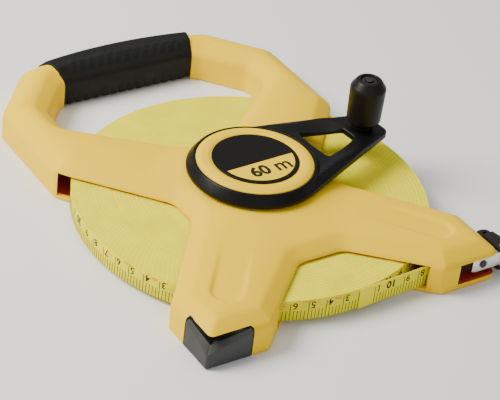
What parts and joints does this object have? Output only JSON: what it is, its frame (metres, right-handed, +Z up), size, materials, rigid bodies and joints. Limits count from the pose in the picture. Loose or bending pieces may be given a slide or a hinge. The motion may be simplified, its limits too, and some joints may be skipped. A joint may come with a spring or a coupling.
{
  "type": "surveyor tape reel",
  "caption": "Open-frame surveyor's long tape reel with a hand grip, hand-crank with turning knob, wound fibreglass tape and a folding end hook.",
  "frame": {"origin": "on the spool's axis, in the flat back face that the frame lies on", "axes": "+Z up out of the crank side, +Y from the spool to the hand grip, +X towards the tape mouth"},
  "size_m": [0.2024, 0.278, 0.0654],
  "materials": {
    "frame_plastic": "semi-gloss moulded",
    "tape": "satin coated fibreglass",
    "grip_rubber": "ribbed soft rubber",
    "bumper_rubber": "hard rubber",
    "crank_plastic": "satin moulded",
    "hub_plastic": "plain moulded",
    "label": "printed label",
    "hook_plastic": "satin moulded",
    "steel": "zinc plated",
    "strap_metal": "satin",
    "rivet_dark": "blackened"
  },
  "bodies": {
    "frame": {"front_shell": "frame_plastic", "back_shell": "frame_plastic", "case_screw_1": "steel", "case_screw_2": "steel", "case_screw_3": "steel", "case_screw_4": "steel", "case_screw_5": "steel", "case_screw_6": "steel", "hand_grip": "grip_rubber", "corner_bumper": "bumper_rubber", "spindle": "steel", "spindle_rivet_1": "steel", "spindle_rivet_2": "steel", "spindle_rivet_3": "steel", "retainer_washer": "steel", "retainer_screw": "steel", "tape_lead": "tape", "guide_pin": "steel"},
    "spool": {"spool_hub": "hub_plastic", "tape_coil": "tape", "crank": "crank_plastic", "crank_screw_1": "steel", "crank_screw_2": "steel", "crank_screw_3": "steel", "hub_cap": "frame_plastic", "hub_label": "label", "knob_pin": "steel", "knob_retainer": "steel"},
    "knob": {"knob": "crank_plastic"},
    "tape_end": {"tape_end_strip": "tape", "end_strap": "strap_metal", "strap_rivet": "rivet_dark", "hook_pin": "steel"},
    "hook": {"hook_body": "hook_plastic", "hook_claw": "strap_metal"}
  },
  "joints": [
    {"name": "spool_spin", "type": "hinge", "parent": "frame", "child": "spool", "pos_m": [0, 0, 0.009], "axis": [0, 0, 1], "continuous": true},
    {"name": "knob_spin", "type": "hinge", "parent": "spool", "child": "knob", "pos_m": [0.07857, 0.00826, 0.048], "axis": [0, 0, 1], "continuous": true},
    {"name": "tape_pull", "type": "slide", "parent": "frame", "child": "tape_end", "axis": [1, 0, 0], "range_m": [0, 0.025]},
    {"name": "hook_fold", "type": "hinge", "parent": "tape_end", "child": "hook", "pos_m": [0.0972, -0.1036, 0.011], "axis": [0, 0, -1], "range_deg": [0, 170]}
  ]
}
